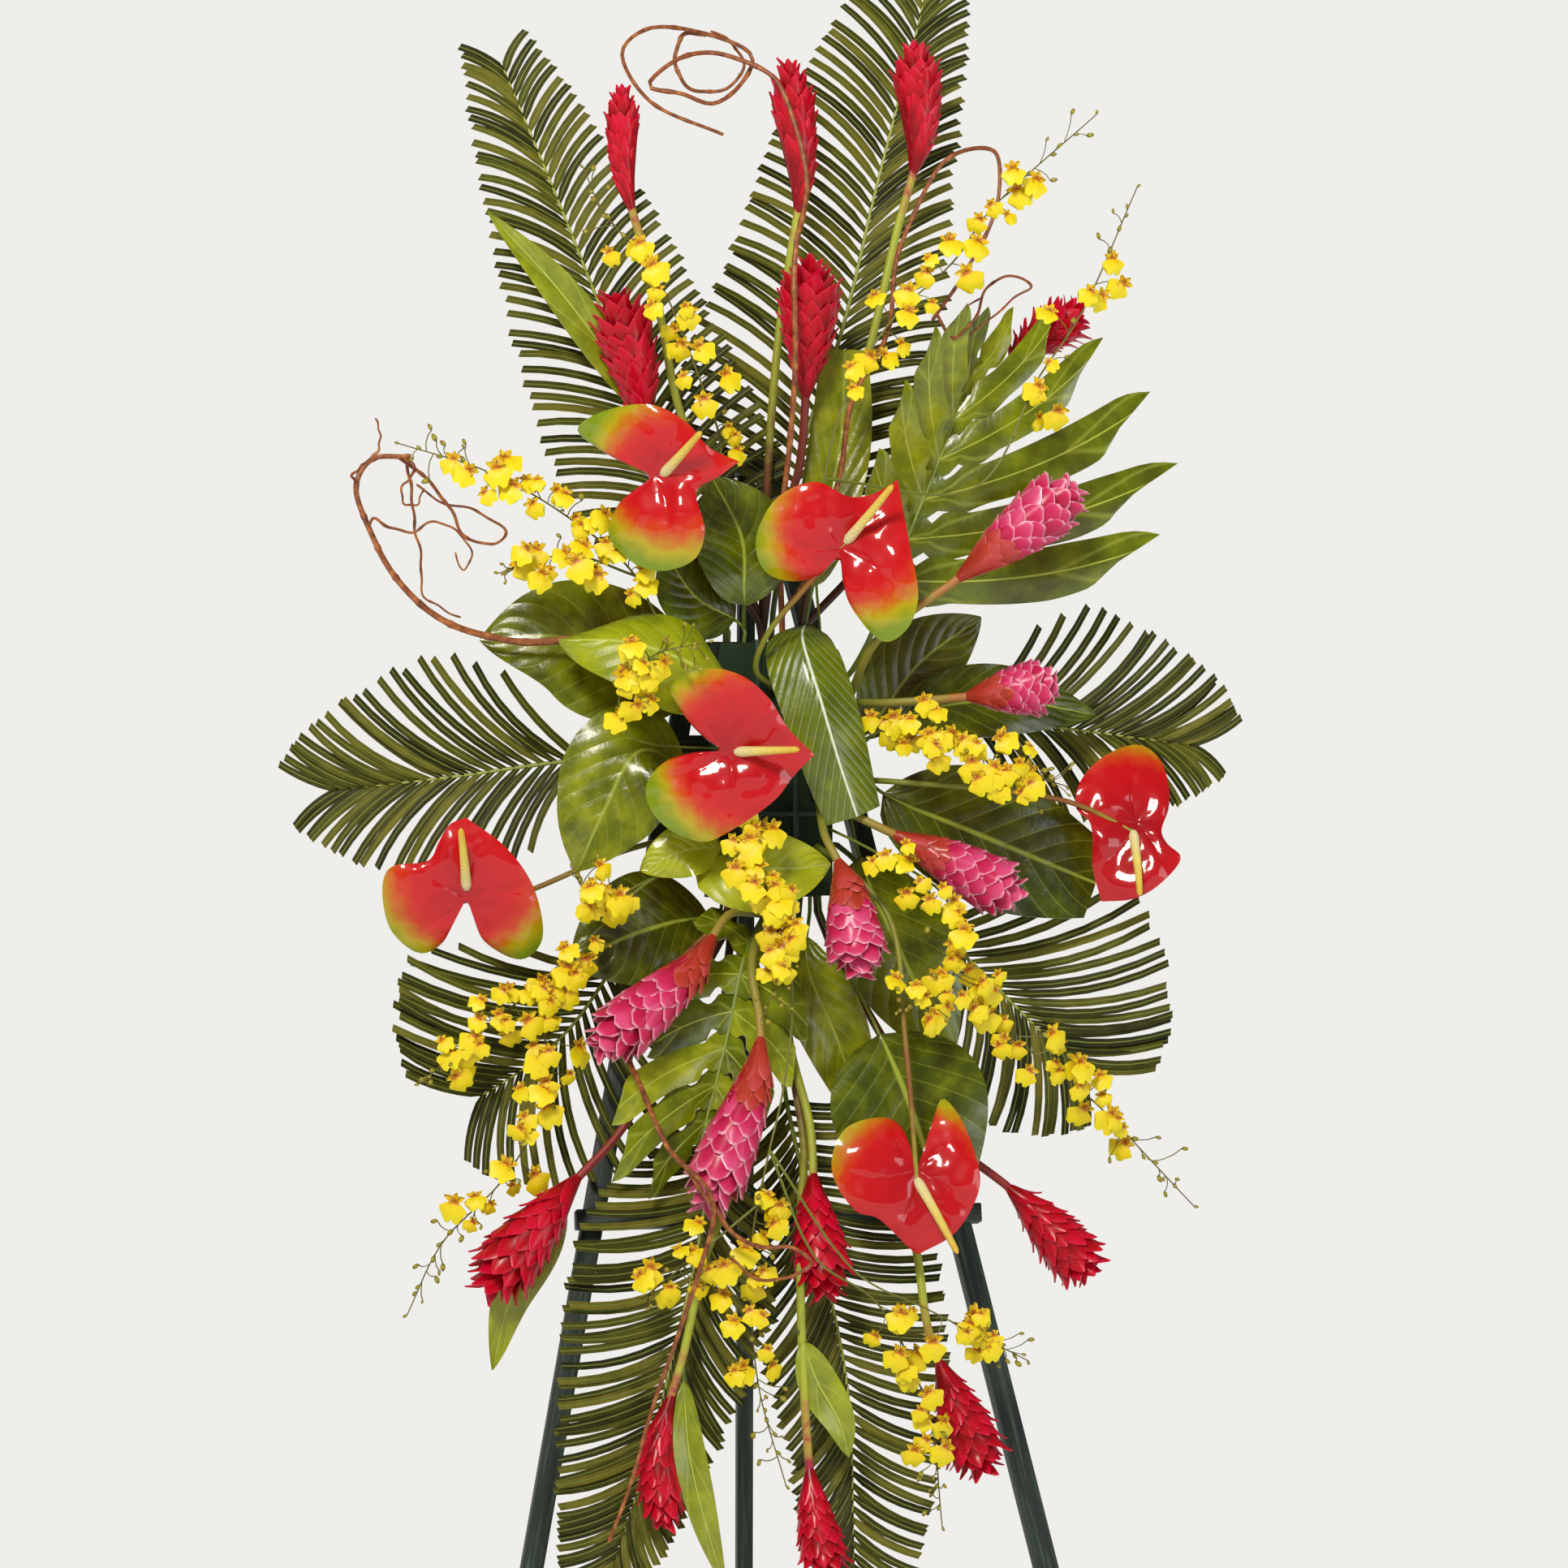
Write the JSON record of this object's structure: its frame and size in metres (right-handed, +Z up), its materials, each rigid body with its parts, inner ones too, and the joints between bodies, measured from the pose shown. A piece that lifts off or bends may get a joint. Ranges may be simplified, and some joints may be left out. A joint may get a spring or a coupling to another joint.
{
  "type": "standing funeral spray",
  "caption": "One-sided standing spray of palm fronds, split leaves, anthuriums, gingers, orchids and vines in a foam cage on a folding wooden easel.",
  "frame": {"origin": "on the floor, under the middle of the whole object's box", "axes": "+Z up; the flowers face -Y; +X is to the right for someone looking at the flowers"},
  "size_m": [0.9434, 0.5841, 2.0058],
  "materials": {
    "stained_wood": "dark green stain, satin",
    "steel": "zinc-grey",
    "rubber": "matt black",
    "cage_plastic": "moulded green",
    "wet_foam": "wet floral foam, matt",
    "palm_leaf": "dark green palm leaflets, satin",
    "leaf": "waxy green leaf",
    "bright_leaf": "waxy yellow-green leaf",
    "spathe": "glossy red spathe",
    "red_bract": "crimson bracts, satin",
    "pink_bract": "pink bracts with pale edges, satin",
    "orchid": "soft yellow petals",
    "vine": "orange-brown woody vine"
  },
  "bodies": {
    "stand": {"front_leg_left": "stained_wood", "foot_cap_left": "rubber", "front_leg_right": "stained_wood", "foot_cap_right": "rubber", "hinge_bolt": "steel", "head_rail": "stained_wood", "upper_crossbar": "stained_wood", "lower_crossbar": "stained_wood", "foam_cage": "cage_plastic", "frond_top_left": "palm_leaf", "frond_top_right": "palm_leaf", "frond_left": "palm_leaf", "frond_lower_left": "palm_leaf", "frond_right": "palm_leaf", "frond_lower_right": "palm_leaf", "frond_bottom_left": "palm_leaf", "frond_bottom_right": "palm_leaf", "split_leaf_upper_right": "leaf", "split_leaf_lower_left": "leaf", "leaf_left_large": "leaf", "leaf_bright_wavy": "bright_leaf", "leaf_left_lower": "leaf", "leaf_left_lowest": "leaf", "leaf_rolled_strip": "leaf", "leaf_upright_strip": "leaf", "leaf_dark_upper_pair": "leaf", "leaf_right_group": "leaf", "leaf_lower_centre": "leaf", "leaf_behind_lowest": "bright_leaf", "leaf_bright_centre_pair": "bright_leaf", "anthurium_upper_left": "spathe", "anthurium_upper_right": "spathe", "anthurium_centre": "spathe", "anthurium_right": "spathe", "anthurium_left": "spathe", "anthurium_lowest": "spathe", "red_ginger_top_left_pair": "red_bract", "red_ginger_top_right_pair": "red_bract", "red_ginger_upper_pair": "red_bract", "red_ginger_bottom_left_pair": "red_bract", "red_ginger_bottom_pair": "red_bract", "red_ginger_right_pair": "red_bract", "pink_ginger_right_pair": "pink_bract", "pink_ginger_centre_pair": "pink_bract", "pink_ginger_lower_left_pair": "pink_bract", "orchid_spray_top_left": "orchid", "orchid_spray_top_right": "orchid", "orchid_spray_left": "orchid", "orchid_spray_centre_upper": "orchid", "orchid_spray_centre": "orchid", "orchid_spray_right": "orchid", "orchid_spray_lower_left": "orchid", "orchid_spray_lower_right": "orchid", "orchid_spray_bottom": "orchid", "vine_top_pair": "vine", "vine_left": "vine", "vine_bottom": "vine", "foam_block": "wet_foam"},
    "rear_leg": {"rear_leg": "stained_wood", "foot_cap_rear": "rubber"}
  },
  "joints": [
    {"name": "rear_leg_hinge", "type": "hinge", "parent": "stand", "child": "rear_leg", "pos_m": [-0.007, 0.06734, 1.462], "axis": [1, 0, 0], "range_deg": [-16, 0]}
  ]
}
